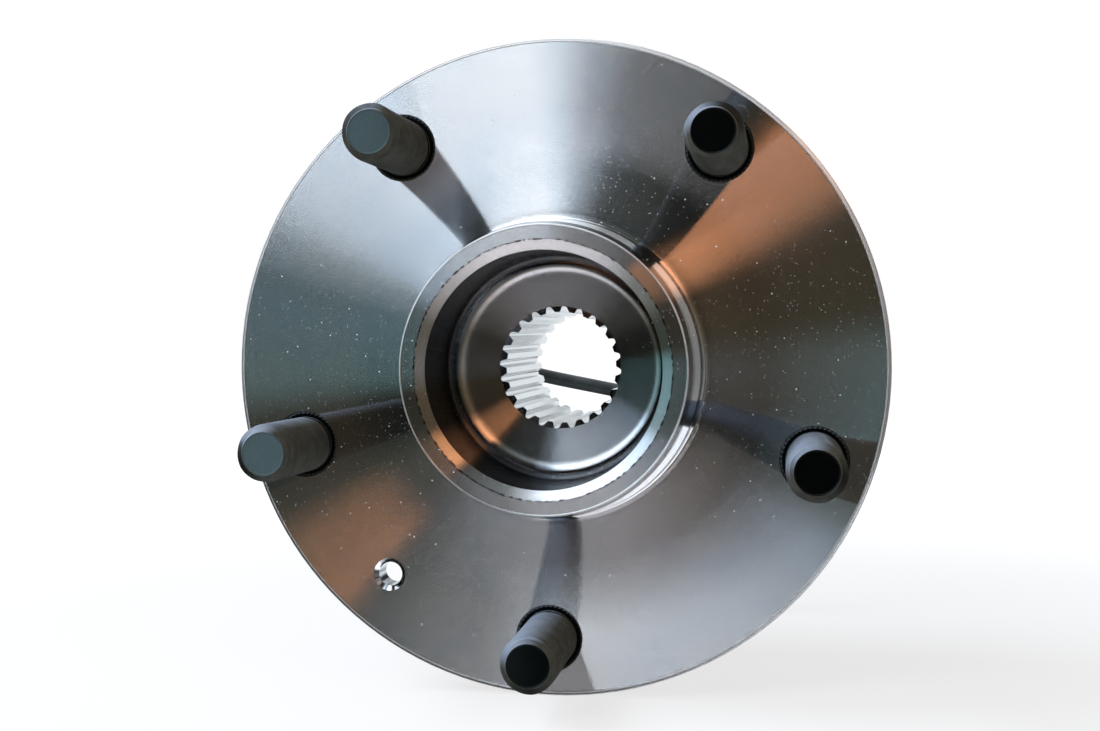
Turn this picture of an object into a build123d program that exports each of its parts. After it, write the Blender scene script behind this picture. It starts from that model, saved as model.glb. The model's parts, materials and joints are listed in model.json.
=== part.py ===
from build123d import *
import math
import os

os.makedirs("parts", exist_ok=True)

# Driven wheel hub unit of the third generation: a flanged hub turns on two rows of balls
# inside a flanged outer ring that bolts to the knuckle, and a sensor reads a magnet ring.
# Millimetres and degrees. The axle line is Y: the wheel goes on from -Y, the knuckle is
# on +Y, the wheel face of the hub is at y = 0 and +Z is up. Angles turn from +X to +Z.

# Bearing: the seat of the inner ring, and the walls and steps outward from it
SEAT_R = 19.0
RING_WALL = 3.9
BALL_R = 6.35
BALL_COUNT = 12
TRACK_CLEARANCE = 0.25
SHOULDER_DROP = 2.5
OUTER_LAND_RISE = 3.1
BARREL_WALL = 4.9
TRACK_R = BALL_R + TRACK_CLEARANCE
PITCH_R = SEAT_R + RING_WALL + TRACK_R
TRACK_MOUTH_R = PITCH_R + TRACK_R
SHOULDER_R = PITCH_R - SHOULDER_DROP
OUTER_LAND_R = PITCH_R + OUTER_LAND_RISE
BARREL_R = TRACK_MOUTH_R + BARREL_WALL

# Wheel studs, M12 x 1.5, their heads clear of the barrel
STUD_COUNT = 5
STUD_TURN = 124.9
STUD_LENGTH = 26.0
STUD_R = 5.9
STUD_TIP_CHAMFER = 1.4
STUD_KNURL_STEP = 1.25
STUD_KNURL_SUNK = 0.3
STUD_HEAD_STEP = 2.05
STUD_HEAD_HEIGHT = 4.2
STUD_HEAD_EDGE = 0.7
STUD_HEAD_GAP = 6.95
STUD_KNURL_R = STUD_R + STUD_KNURL_STEP
STUD_HEAD_R = STUD_KNURL_R + STUD_HEAD_STEP
STUD_CIRCLE_R = BARREL_R + STUD_HEAD_GAP + STUD_HEAD_R

# Wheel flange
FLANGE_RIM = 12.25
FLANGE_WEB = 6.5
FLANGE_EDGE = 0.8
BOSS_RIM = 2.4
BOSS_DEPTH = 10.0
HUB_BACK_STEP = 3.0
HUB_BACK_Y = 9.6
SEAL_FILLET = 3.0
FLANGE_R = STUD_CIRCLE_R + FLANGE_RIM
BOSS_R = STUD_HEAD_R + BOSS_RIM
HUB_BACK_R = BARREL_R + HUB_BACK_STEP

# Pilot on the wheel face
WHEEL_PILOT_R = 30.0
PILOT_HEIGHT = 16.35
PILOT_TIP_EDGE = 0.25
PILOT_LEAD = 2.6
PILOT_LEAD_DEPTH = 0.9
PILOT_TIP_WIDTH = 2.9
ROTOR_PILOT_STEP = 1.0
ROTOR_PILOT_HEIGHT = 5.5
PILOT_ROOT_FILLET = 1.6
RECESS_MOUTH = 0.9
RECESS_MOUTH_WIDTH = 2.05
RECESS_FILLET = 5.0
NUT_SEAT_Y = 8.2
PILOT_TIP_R = WHEEL_PILOT_R - PILOT_LEAD_DEPTH
ROTOR_PILOT_R = WHEEL_PILOT_R + ROTOR_PILOT_STEP
PILOT_LAND_R = PILOT_TIP_R - PILOT_TIP_WIDTH
RECESS_R = PILOT_LAND_R - RECESS_MOUTH_WIDTH

# Splined bore
SPLINE_TEETH = 24
SPLINE_TIP_R = 12.0
SPLINE_DEPTH = 1.1
SPLINE_FRONT_CHAMFER = 1.2
SPLINE_BACK_CHAMFER = 1.4
SPLINE_MOUTH_WIDTH = 2.0
SPLINE_ROOT_WIDTH = 1.0
SPLINE_TURN = -3.7
SPLINE_ROOT_R = SPLINE_TIP_R + SPLINE_DEPTH

# Rotor screw hole, M6
ROTOR_SCREW_R = 2.55
ROTOR_SCREW_SINK_R = 3.5
ROTOR_SCREW_TURN = 231.1
SINK_ANGLE = 90.0

# Inner ring and the formed lip that holds it
RING_TAIL = 4.4
RING_EDGE = 0.6
LIP_LEAD = 1.5
LIP_WALL = 5.5
LIP_DEPTH = 5.5
LIP_ROUND = 2.6
LIP_FLAT_STEP = 0.5
LIP_DISH_RIM = 1.3
LIP_DISH = 1.2
LIP_R = SEAT_R + LIP_WALL
LIP_FLAT_R = SEAT_R - LIP_FLAT_STEP
LIP_DISH_R = SPLINE_ROOT_R + LIP_DISH_RIM

# Outer ring
HUB_GAP = 2.7
FRONT_SEAL_ROOM = 2.85
REAR_RIM = 1.5
OUTER_EDGE = 0.8
KNUCKLE_FACE_Y = 38.0
KNUCKLE_FLANGE = 11.0
KNUCKLE_BOLT_COUNT = 4
KNUCKLE_BOLT_TURN = 45.0
KNUCKLE_BOLT_HOLE_R = 5.25
KNUCKLE_BOLT_SINK = 0.95
KNUCKLE_BOLT_GAP = 1.8
KNUCKLE_EAR_WALL = 4.25
KNUCKLE_ROUND = 1.5
SPIGOT_STEP = 1.0
SPIGOT_LENGTH = 12.5
REAR_NECK_STEP = 1.8
SPIGOT_R = BARREL_R + SPIGOT_STEP
REAR_NECK_R = SPIGOT_R - REAR_NECK_STEP
KNUCKLE_BOLT_SINK_R = KNUCKLE_BOLT_HOLE_R + KNUCKLE_BOLT_SINK
KNUCKLE_EAR_R = KNUCKLE_BOLT_HOLE_R + KNUCKLE_EAR_WALL
KNUCKLE_BOLT_R = SPIGOT_R + KNUCKLE_BOLT_SINK_R + KNUCKLE_BOLT_GAP

# Cages
CAGE_HALF = 1.9
CAGE_BASE = 2.15
CAGE_HORN = 4.2
CAGE_POCKET_CLEARANCE = 0.2
CAGE_SLIT = 1.6
CAGE_SLIT_DEPTH = 2.0
CAGE_GAP = 1.3

# Seals
SEAL_STEEL = 0.8
SEAL_SETBACK = 0.3
SEAL_CASE_DEPTH = 4.4
SEAL_EYE_STEP = 3.6
LIP_GAP = 0.3
LIP_BEAD = 1.1
LIP_EDGE = 0.35
LIP_LEAN = 1.6
SIDE_LIP_REACH = 2.2
REAR_SEAL_BALL_GAP = 0.45
REAR_SEAL_DEPTH = 3.2
REAR_SEAL_EYE_STEP = 4.2
SEAL_EYE_R = SHOULDER_R + SEAL_EYE_STEP
REAR_SEAL_EYE_R = SHOULDER_R + REAR_SEAL_EYE_STEP

# Encoder
SLINGER_STEEL = 0.7
SLINGER_SIDE_GAP = 1.5
SLINGER_SEAL_GAP = 0.2
MAGNET_BORE_STEP = 1.4
MAGNET_DEPTH = 0.9
SLINGER_R = TRACK_MOUTH_R - SLINGER_SIDE_GAP
MAGNET_BORE_R = SHOULDER_R + MAGNET_BORE_STEP

# Sensor ring and sensor
COVER_STEEL = 0.8
COVER_EDGE_GAP = 0.2
COVER_BORE_STEP = 0.5
COVER_SLEEVE = 1.2
COVER_STANDOFF = 1.3
COVER_FLANGE_R = REAR_NECK_R - COVER_EDGE_GAP
COVER_BORE_R = SHOULDER_R + COVER_BORE_STEP
AIR_GAP = 0.5
SENSOR_OFFSET = 2.0
SENSOR_WIDTH = 15.0
SENSOR_HEIGHT = 17.0
SENSOR_DEPTH = 8.1
SENSOR_ROUND = 2.0
NOSE_WIDTH = 6.0
NOSE_HEIGHT = 8.4
NOSE_CLEARANCE = 0.3
OUTLET_OFFSET = 0.5
OUTLET_R = 5.4
OUTLET_LENGTH = 2.5
NOSE_X = -(MAGNET_BORE_R + SLINGER_R) / 2
SENSOR_X = NOSE_X - SENSOR_OFFSET
OUTLET_X = SENSOR_X - OUTLET_OFFSET
BOOT_R = 4.7
BOOT_MOUTH_R = 2.7
BOOT_COLLAR = 1.5

# Lead: the first point is where it leaves the boot, at BOOT_END_Y
CABLE_R = 1.9
BOOT_END_Y = 74.0
FLOOR_Z = -FLANGE_R
CABLE_POINTS = [
    (OUTLET_X, BOOT_END_Y, 0.0),
    (OUTLET_X, 84.7, 0.0),
    (-28.6, 94.0, -1.9),
    (-19.0, 99.6, -4.8),
    (0.0, 101.2, -8.5),
    (15.0, 101.2, -11.4),
    (26.2, 100.6, -20.6),
    (31.4, 101.4, -34.2),
    (31.0, 102.6, -50.6),
    (29.6, 96.8, -61.2),
    (27.6, 85.4, FLOOR_Z + CABLE_R),
    (25.9, 70.2, FLOOR_Z + CABLE_R),
]
BEND_SHARE = 0.45
COIL_X = 3.0
COIL_Y = 56.0
COIL_MEAN_R = 21.0
COIL_LAYERS = 2
COIL_EDGE = 1.3
TIE_WIDTH = 3.6
TIE_THICKNESS = 1.0
TIE_CLEARANCE = 0.15
TIE_HEAD = 4.6
TIE_HEAD_HEIGHT = 3.2
TIE_END = 5.0
TAIL_POINTS = [
    (-17.7, 72.2, FLOOR_Z + 3 * CABLE_R),
    (-18.0, 77.0, FLOOR_Z + 3 * CABLE_R),
    (-18.0, 82.0, FLOOR_Z + 3 * CABLE_R),
]

# Connector of the lead, lying on the floor where the tail ends
PLUG_BOOT_R = 3.3
PLUG_BOOT_LENGTH = 4.0
PLUG_WIDTH = 13.6
PLUG_HEIGHT = 6 * CABLE_R
PLUG_LENGTH = 15.0
PLUG_ROUND = 1.6
GRIP_COUNT = 3
GRIP_PITCH = 3.0
GRIP_WIDTH = 1.4
GRIP_DEPTH = 0.6
PLUG_NOSE_WIDTH = 9.6
PLUG_NOSE_HEIGHT = 6.8
PLUG_NOSE_LENGTH = 9.0
PLUG_NOSE_ROUND = 1.2
PLUG_SEAL_WALL = 0.9
PLUG_SEAL_LENGTH = 3.0
LATCH_WIDTH = 5.0
LATCH_THICKNESS = 1.3
LATCH_LIFT = 1.2
LATCH_FOOT = 2.0
LATCH_LENGTH = 19.0
LATCH_START = 2.5
LOCK_LENGTH = 3.0
LOCK_THICKNESS = 1.1
TERMINAL_SIZE = 1.7
TERMINAL_CLEARANCE = 0.1
TERMINAL_LENGTH = 8.0
TERMINAL_SETBACK = 0.8
TERMINAL_PITCH = 4.4
TERMINAL_BORE = 0.9
TERMINAL_BORE_DEPTH = 3.0

# Places along the axle, worked out from the sizes above
OUTER_FRONT_Y = HUB_BACK_Y + HUB_GAP
ROW_Y = OUTER_FRONT_Y + FRONT_SEAL_ROOM + BALL_R
MIDDLE_Y = ROW_Y + BALL_R + CAGE_POCKET_CLEARANCE + CAGE_BASE + CAGE_GAP
ROW_YS = (ROW_Y, 2 * MIDDLE_Y - ROW_Y)
TRACK_FLOOR_R = PITCH_R - TRACK_R
INNER_ANGLE = math.degrees(math.acos(SHOULDER_DROP / TRACK_R))
OUTER_ANGLE = math.degrees(math.acos(OUTER_LAND_RISE / TRACK_R))
RING_END_Y = ROW_YS[1] + TRACK_R * math.sin(math.radians(INNER_ANGLE)) + RING_TAIL
HUB_END_Y = RING_END_Y + LIP_DEPTH
REAR_CASE_Y = ROW_YS[1] + BALL_R + REAR_SEAL_BALL_GAP
REAR_CASE_END_Y = REAR_CASE_Y + REAR_SEAL_DEPTH
SLINGER_PLATE_Y = REAR_CASE_END_Y + SLINGER_SEAL_GAP
OUTER_END_Y = REAR_CASE_END_Y + REAR_RIM
SPIGOT_END_Y = KNUCKLE_FACE_Y + SPIGOT_LENGTH
COIL_HEIGHT = 2 * CABLE_R * COIL_LAYERS


def plane_at(y):
    """The plane across the axle line at y, seen from the wheel side."""
    return Plane.XZ.offset(-y)


def on_track(row_y, angle):
    """The point of a ball track's section at an angle from the outward direction."""
    turn = math.radians(angle)
    return (PITCH_R + TRACK_R * math.cos(turn), row_y + TRACK_R * math.sin(turn))


def corner(sketch, r, y):
    """The vertex of a section that lies nearest to a radius and a place along the axle."""
    return sketch.vertices().sort_by_distance((r, y, 0))[0]


def section(*points):
    """A closed section: pairs of a radius and a place along the axle."""
    with BuildSketch(Plane.XY) as outline:
        with BuildLine():
            Polyline(*points, close=True)
        make_face()
    return outline.sketch


def save(solid, name):
    """Labels a finished piece and writes it."""
    solid.label = name
    export_step(solid, f"parts/{name}.step")


# One groove of the spline, on +X; its mouth runs in past the tooth tips
with BuildSketch(Plane.XY) as spline_groove:
    with BuildLine():
        groove_floor = RadiusArc(
            (SPLINE_ROOT_R, SPLINE_ROOT_WIDTH / 2),
            (SPLINE_ROOT_R, -SPLINE_ROOT_WIDTH / 2),
            SPLINE_ROOT_WIDTH,
        )
        Polyline(
            groove_floor @ 1,
            (SPLINE_TIP_R, -SPLINE_MOUTH_WIDTH / 2),
            (SPLINE_TIP_R - SPLINE_MOUTH_WIDTH / 2, 0),
            (SPLINE_TIP_R, SPLINE_MOUTH_WIDTH / 2),
            groove_floor @ 0,
        )
    make_face()

# Hub: wheel face, pilot, nut recess, spindle with the outboard track, and formed lip
with BuildPart() as hub_flange:
    with BuildSketch(Plane.XY) as hub_section:
        with BuildLine():
            track_start = on_track(ROW_YS[0], 180 + INNER_ANGLE)
            track_end = on_track(ROW_YS[0], 180)
            Polyline(
                (SPLINE_TIP_R, HUB_END_Y - LIP_DISH - SPLINE_BACK_CHAMFER),
                (SPLINE_TIP_R, NUT_SEAT_Y + SPLINE_FRONT_CHAMFER),
                (SPLINE_TIP_R + SPLINE_FRONT_CHAMFER, NUT_SEAT_Y),
                (RECESS_R, NUT_SEAT_Y),
                (RECESS_R, RECESS_MOUTH - PILOT_HEIGHT),
                (PILOT_LAND_R, -PILOT_HEIGHT),
                (PILOT_TIP_R, -PILOT_HEIGHT),
                (PILOT_TIP_R + PILOT_TIP_EDGE, PILOT_TIP_EDGE - PILOT_HEIGHT),
                (WHEEL_PILOT_R, PILOT_TIP_EDGE + PILOT_LEAD - PILOT_HEIGHT),
                (WHEEL_PILOT_R, -ROTOR_PILOT_STEP - ROTOR_PILOT_HEIGHT),
                (ROTOR_PILOT_R, -ROTOR_PILOT_HEIGHT),
                (ROTOR_PILOT_R, 0),
                (FLANGE_R - FLANGE_EDGE, 0),
                (FLANGE_R, FLANGE_EDGE),
                (FLANGE_R, FLANGE_WEB - FLANGE_EDGE),
                (FLANGE_R - FLANGE_EDGE, FLANGE_WEB),
                (HUB_BACK_R + HUB_BACK_Y - FLANGE_WEB, FLANGE_WEB),
                (HUB_BACK_R, HUB_BACK_Y),
                (SHOULDER_R, HUB_BACK_Y),
                track_start,
            )
            ThreePointArc(track_start, on_track(ROW_YS[0], 180 + INNER_ANGLE / 2), track_end)
            Polyline(
                track_end,
                (TRACK_FLOOR_R, MIDDLE_Y),
                (SEAT_R, MIDDLE_Y),
                (SEAT_R, RING_END_Y - LIP_LEAD),
                (SEAT_R + LIP_LEAD, RING_END_Y),
                (LIP_R, RING_END_Y),
                (LIP_R, HUB_END_Y),
                (LIP_FLAT_R, HUB_END_Y),
                (LIP_DISH_R, HUB_END_Y - LIP_DISH),
                (SPLINE_TIP_R + SPLINE_BACK_CHAMFER, HUB_END_Y - LIP_DISH),
                (SPLINE_TIP_R, HUB_END_Y - LIP_DISH - SPLINE_BACK_CHAMFER),
            )
        make_face()
        fillet(corner(hub_section, RECESS_R, NUT_SEAT_Y), RECESS_FILLET)
        fillet(corner(hub_section, ROTOR_PILOT_R, 0), PILOT_ROOT_FILLET)
        fillet(corner(hub_section, SHOULDER_R, HUB_BACK_Y), SEAL_FILLET)
        fillet(corner(hub_section, LIP_R, HUB_END_Y), LIP_ROUND)
    revolve(axis=Axis.Y)
    with BuildSketch(plane_at(FLANGE_WEB)):
        with PolarLocations(STUD_CIRCLE_R, STUD_COUNT, start_angle=STUD_TURN):
            Circle(BOSS_R)
    extrude(amount=FLANGE_WEB - BOSS_DEPTH)
    with BuildSketch(plane_at(0)):
        with PolarLocations(STUD_CIRCLE_R, STUD_COUNT, start_angle=STUD_TURN):
            Circle(STUD_KNURL_R)
    extrude(amount=-BOSS_DEPTH, mode=Mode.SUBTRACT)
    with BuildSketch(plane_at(NUT_SEAT_Y)):
        with PolarLocations(0, SPLINE_TEETH, start_angle=SPLINE_TURN):
            add(spline_groove.sketch)
    extrude(amount=NUT_SEAT_Y - HUB_END_Y, mode=Mode.SUBTRACT)
    screw_turn = math.radians(ROTOR_SCREW_TURN)
    screw_place = (STUD_CIRCLE_R * math.cos(screw_turn), 0, STUD_CIRCLE_R * math.sin(screw_turn))
    with Locations(Plane(origin=screw_place, x_dir=(1, 0, 0), z_dir=(0, -1, 0))):
        CounterSinkHole(ROTOR_SCREW_R, ROTOR_SCREW_SINK_R, FLANGE_WEB, SINK_ANGLE)
save(hub_flange.part, "hub_flange")

# One stud, its tip towards +Z and its wheel face plane at z = 0
with BuildPart() as stud:
    with BuildSketch(Plane.XZ):
        with BuildLine():
            Polyline(
                (0, -BOSS_DEPTH - STUD_HEAD_HEIGHT),
                (STUD_HEAD_R - STUD_HEAD_EDGE, -BOSS_DEPTH - STUD_HEAD_HEIGHT),
                (STUD_HEAD_R, STUD_HEAD_EDGE - BOSS_DEPTH - STUD_HEAD_HEIGHT),
                (STUD_HEAD_R, -BOSS_DEPTH),
                (STUD_KNURL_R, -BOSS_DEPTH),
                (STUD_KNURL_R, -2 * STUD_KNURL_SUNK),
                (STUD_KNURL_R - STUD_KNURL_SUNK, -STUD_KNURL_SUNK),
                (STUD_R, -STUD_KNURL_SUNK),
                (STUD_R, STUD_LENGTH - STUD_TIP_CHAMFER),
                (STUD_R - STUD_TIP_CHAMFER, STUD_LENGTH),
                (0, STUD_LENGTH),
                close=True,
            )
        make_face()
    revolve(axis=Axis.Z)

with BuildPart(Plane.XZ) as wheel_studs:
    with PolarLocations(STUD_CIRCLE_R, STUD_COUNT, start_angle=STUD_TURN):
        add(stud.part)
save(wheel_studs.part, "wheel_studs")

# Inner ring of the inboard row, pushed against the spindle's step
with BuildPart() as inner_ring:
    with BuildSketch(Plane.XY):
        with BuildLine():
            track_start = on_track(ROW_YS[1], 180)
            track_end = on_track(ROW_YS[1], 180 - INNER_ANGLE)
            Polyline(
                track_end,
                (SHOULDER_R, RING_END_Y - RING_EDGE),
                (SHOULDER_R - RING_EDGE, RING_END_Y),
                (SEAT_R + LIP_LEAD, RING_END_Y),
                (SEAT_R, RING_END_Y - LIP_LEAD),
                (SEAT_R, MIDDLE_Y),
                (TRACK_FLOOR_R, MIDDLE_Y),
                track_start,
            )
            ThreePointArc(track_start, on_track(ROW_YS[1], 180 - INNER_ANGLE / 2), track_end)
        make_face()
    revolve(axis=Axis.Y)
save(inner_ring.part, "inner_ring")

# Outer ring: barrel with two tracks, knuckle flange with tapped holes, and spigot
with BuildPart() as outer_ring:
    with BuildSketch(Plane.XY):
        with BuildLine():
            land_angles = (OUTER_ANGLE, -OUTER_ANGLE)
            land_points = [on_track(y, a) for y, a in zip(ROW_YS, land_angles)]
            track_mouths = [on_track(y, 0) for y in ROW_YS]
            for row_y, land_angle, mouth, land in zip(
                ROW_YS, land_angles, track_mouths, land_points
            ):
                ThreePointArc(mouth, on_track(row_y, land_angle / 2), land)
            Line(*land_points)
            Polyline(
                track_mouths[0],
                (TRACK_MOUTH_R, OUTER_FRONT_Y + OUTER_EDGE / 2),
                (TRACK_MOUTH_R + OUTER_EDGE / 2, OUTER_FRONT_Y),
                (BARREL_R - OUTER_EDGE, OUTER_FRONT_Y),
                (BARREL_R, OUTER_FRONT_Y + OUTER_EDGE),
                (BARREL_R, KNUCKLE_FACE_Y),
                (SPIGOT_R, KNUCKLE_FACE_Y),
                (SPIGOT_R, SPIGOT_END_Y - OUTER_EDGE),
                (REAR_NECK_R, SPIGOT_END_Y),
                (REAR_NECK_R, OUTER_END_Y),
                (TRACK_MOUTH_R, OUTER_END_Y),
                track_mouths[1],
            )
        make_face()
    revolve(axis=Axis.Y)
    with BuildSketch(plane_at(KNUCKLE_FACE_Y)):
        with PolarLocations(KNUCKLE_BOLT_R, KNUCKLE_BOLT_COUNT, start_angle=KNUCKLE_BOLT_TURN):
            Circle(KNUCKLE_EAR_R)
        make_hull()
        Circle((OUTER_LAND_R + BARREL_R) / 2, mode=Mode.SUBTRACT)
    extrude(amount=KNUCKLE_FLANGE)
    flange_front_y = KNUCKLE_FACE_Y - KNUCKLE_FLANGE
    front_edges = outer_ring.edges().filter_by_position(Axis.Y, flange_front_y, flange_front_y)
    fillet(front_edges.sort_by(SortBy.LENGTH)[-1], KNUCKLE_ROUND)
    for bolt in range(KNUCKLE_BOLT_COUNT):
        turn = math.radians(KNUCKLE_BOLT_TURN + bolt * 360 / KNUCKLE_BOLT_COUNT)
        place = (KNUCKLE_BOLT_R * math.cos(turn), KNUCKLE_FACE_Y, KNUCKLE_BOLT_R * math.sin(turn))
        with Locations(Plane(origin=place, x_dir=(1, 0, 0), z_dir=(0, 1, 0))):
            CounterSinkHole(
                KNUCKLE_BOLT_HOLE_R, KNUCKLE_BOLT_SINK_R, KNUCKLE_FLANGE, SINK_ANGLE
            )
save(outer_ring.part, "outer_ring")

# Balls of the two rows
with BuildPart() as outboard_balls:
    with Locations(plane_at(ROW_YS[0])):
        with PolarLocations(PITCH_R, BALL_COUNT):
            Sphere(BALL_R)
save(outboard_balls.part, "outboard_balls")

with BuildPart() as inboard_balls:
    with Locations(plane_at(ROW_YS[1])):
        with PolarLocations(PITCH_R, BALL_COUNT):
            Sphere(BALL_R)
save(inboard_balls.part, "inboard_balls")

# Snap cage: a ring with a pocket for each ball and a slit in each horn
with BuildPart() as outboard_cage:
    pocket_r = BALL_R + CAGE_POCKET_CLEARANCE
    horn_y = ROW_YS[0] - CAGE_HORN
    base_y = ROW_YS[0] + pocket_r + CAGE_BASE
    revolve(
        section(
            (PITCH_R - CAGE_HALF, horn_y),
            (PITCH_R + CAGE_HALF, horn_y),
            (PITCH_R + CAGE_HALF, base_y),
            (PITCH_R - CAGE_HALF, base_y),
        ),
        axis=Axis.Y,
    )
    for number in range(BALL_COUNT):
        turn = 2 * math.pi * number / BALL_COUNT
        outward = (math.cos(turn), 0, math.sin(turn))
        with BuildSketch(Plane(origin=(0, ROW_YS[0], 0), x_dir=(0, 1, 0), z_dir=outward)):
            Circle(pocket_r)
        extrude(amount=PITCH_R + 2 * CAGE_HALF, mode=Mode.SUBTRACT)
        turn += math.pi / BALL_COUNT
        between = (math.cos(turn), 0, math.sin(turn))
        with BuildSketch(Plane(origin=(0, horn_y, 0), x_dir=(0, 1, 0), z_dir=between)):
            Rectangle(2 * CAGE_SLIT_DEPTH, CAGE_SLIT)
        extrude(amount=PITCH_R + 2 * CAGE_HALF, mode=Mode.SUBTRACT)
save(outboard_cage.part, "outboard_cage")

with BuildPart() as inboard_cage:
    mirror(outboard_cage.part, about=plane_at(MIDDLE_Y))
save(inboard_cage.part, "inboard_cage")

# Outboard seal: steel case in the barrel's mouth, rubber lips on the hub's shoulder
with BuildPart() as outboard_seal_case:
    case_y = OUTER_FRONT_Y + SEAL_SETBACK
    revolve(
        section(
            (TRACK_MOUTH_R, case_y),
            (TRACK_MOUTH_R, case_y + SEAL_CASE_DEPTH),
            (TRACK_MOUTH_R - SEAL_STEEL, case_y + SEAL_CASE_DEPTH),
            (TRACK_MOUTH_R - SEAL_STEEL, case_y + SEAL_STEEL),
            (SEAL_EYE_R, case_y + SEAL_STEEL),
            (SEAL_EYE_R, case_y),
        ),
        axis=Axis.Y,
    )
save(outboard_seal_case.part, "outboard_seal_case")

with BuildPart() as outboard_seal_lip:
    lip_r = SHOULDER_R + LIP_GAP
    lip_root_y = case_y + SEAL_STEEL
    side_y = HUB_BACK_Y + LIP_GAP
    side_r = SEAL_EYE_R + LIP_BEAD + SIDE_LIP_REACH
    revolve(
        section(
            (SEAL_EYE_R, lip_root_y),
            (SEAL_EYE_R - LIP_BEAD, lip_root_y),
            (lip_r, lip_root_y + LIP_LEAN),
            (lip_r, lip_root_y + LIP_LEAN - LIP_EDGE),
            (SEAL_EYE_R - LIP_BEAD, case_y - LIP_BEAD / 2),
            (SEAL_EYE_R + LIP_BEAD, case_y - LIP_BEAD / 2),
            (side_r, side_y),
            (side_r + LIP_EDGE, side_y),
            (SEAL_EYE_R + 2 * LIP_BEAD, case_y),
            (SEAL_EYE_R, case_y),
        ),
        axis=Axis.Y,
    )
save(outboard_seal_lip.part, "outboard_seal_lip")

# Encoder: pressed slinger on the inner ring with the magnet ring bonded on its plate
with BuildPart() as encoder_slinger:
    sleeve_y = RING_END_Y - RING_TAIL + LIP_GAP
    plate_end_y = SLINGER_PLATE_Y + SLINGER_STEEL
    revolve(
        section(
            (SHOULDER_R, sleeve_y),
            (SHOULDER_R + SLINGER_STEEL, sleeve_y),
            (SHOULDER_R + SLINGER_STEEL, SLINGER_PLATE_Y),
            (SLINGER_R, SLINGER_PLATE_Y),
            (SLINGER_R, plate_end_y),
            (SHOULDER_R, plate_end_y),
        ),
        axis=Axis.Y,
    )
save(encoder_slinger.part, "encoder_slinger")

with BuildPart() as encoder_magnet:
    magnet_end_y = plate_end_y + MAGNET_DEPTH
    revolve(
        section(
            (MAGNET_BORE_R, plate_end_y),
            (SLINGER_R, plate_end_y),
            (SLINGER_R, magnet_end_y),
            (MAGNET_BORE_R, magnet_end_y),
        ),
        axis=Axis.Y,
    )
save(encoder_magnet.part, "encoder_magnet")

# Inboard seal: steel case in the barrel, rubber lips on the slinger
with BuildPart() as inboard_seal_case:
    revolve(
        section(
            (TRACK_MOUTH_R, REAR_CASE_Y),
            (TRACK_MOUTH_R, REAR_CASE_END_Y),
            (TRACK_MOUTH_R - SLINGER_STEEL, REAR_CASE_END_Y),
            (TRACK_MOUTH_R - SLINGER_STEEL, REAR_CASE_Y + SLINGER_STEEL),
            (REAR_SEAL_EYE_R, REAR_CASE_Y + SLINGER_STEEL),
            (REAR_SEAL_EYE_R, REAR_CASE_Y),
        ),
        axis=Axis.Y,
    )
save(inboard_seal_case.part, "inboard_seal_case")

with BuildPart() as inboard_seal_lip:
    rear_lip_r = SHOULDER_R + SLINGER_STEEL + LIP_GAP
    rear_root_y = REAR_CASE_Y + SLINGER_STEEL
    rear_side_y = SLINGER_PLATE_Y - LIP_GAP
    revolve(
        section(
            (REAR_SEAL_EYE_R, REAR_CASE_Y),
            (rear_lip_r, REAR_CASE_Y),
            (rear_lip_r, REAR_CASE_Y + LIP_EDGE),
            (REAR_SEAL_EYE_R - LIP_BEAD, rear_root_y + LIP_BEAD / 2),
            (REAR_SEAL_EYE_R, rear_root_y + LIP_BEAD / 2),
            (REAR_SEAL_EYE_R + LIP_BEAD, rear_side_y),
            (REAR_SEAL_EYE_R + LIP_BEAD + LIP_EDGE, rear_side_y),
            (REAR_SEAL_EYE_R + LIP_BEAD, rear_root_y),
            (REAR_SEAL_EYE_R, rear_root_y),
        ),
        axis=Axis.Y,
    )
save(inboard_seal_lip.part, "inboard_seal_lip")

# Sensor ring: pressed cover on the outer ring's end, with a window for the sensor's nose
with BuildPart() as sensor_ring:
    shield_y = OUTER_END_Y + COVER_STANDOFF
    shield_end_y = shield_y + COVER_STEEL
    revolve(
        section(
            (TRACK_MOUTH_R, OUTER_END_Y - COVER_SLEEVE),
            (TRACK_MOUTH_R, OUTER_END_Y),
            (COVER_FLANGE_R, OUTER_END_Y),
            (COVER_FLANGE_R, OUTER_END_Y + COVER_STEEL),
            (TRACK_MOUTH_R, OUTER_END_Y + COVER_STEEL),
            (TRACK_MOUTH_R, shield_end_y),
            (COVER_BORE_R, shield_end_y),
            (COVER_BORE_R, shield_y),
            (TRACK_MOUTH_R - COVER_STEEL, shield_y),
            (TRACK_MOUTH_R - COVER_STEEL, OUTER_END_Y - COVER_SLEEVE),
        ),
        axis=Axis.Y,
    )
    with BuildSketch(plane_at(shield_y)):
        with Locations((NOSE_X, 0)):
            Rectangle(NOSE_WIDTH + 2 * NOSE_CLEARANCE, NOSE_HEIGHT + 2 * NOSE_CLEARANCE)
    extrude(amount=-COVER_STEEL, mode=Mode.SUBTRACT)
save(sensor_ring.part, "sensor_ring")

# Sensor: moulded block on the cover, its nose in the window and an outlet for the lead
with BuildPart() as sensor_body:
    with BuildSketch(plane_at(shield_end_y)):
        with Locations((SENSOR_X, 0)):
            RectangleRounded(SENSOR_WIDTH, SENSOR_HEIGHT, SENSOR_ROUND)
    extrude(amount=-SENSOR_DEPTH)
    chamfer(sensor_body.faces().sort_by(Axis.Y)[-1].edges(), SENSOR_ROUND / 2)
    with BuildSketch(plane_at(shield_end_y)):
        with Locations((NOSE_X, 0)):
            Rectangle(NOSE_WIDTH, NOSE_HEIGHT)
    extrude(amount=shield_end_y - magnet_end_y - AIR_GAP)
    with BuildSketch(plane_at(shield_end_y + SENSOR_DEPTH)):
        with Locations((OUTLET_X, 0)):
            Circle(OUTLET_R)
    extrude(amount=-OUTLET_LENGTH)
save(sensor_body.part, "sensor_body")

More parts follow.
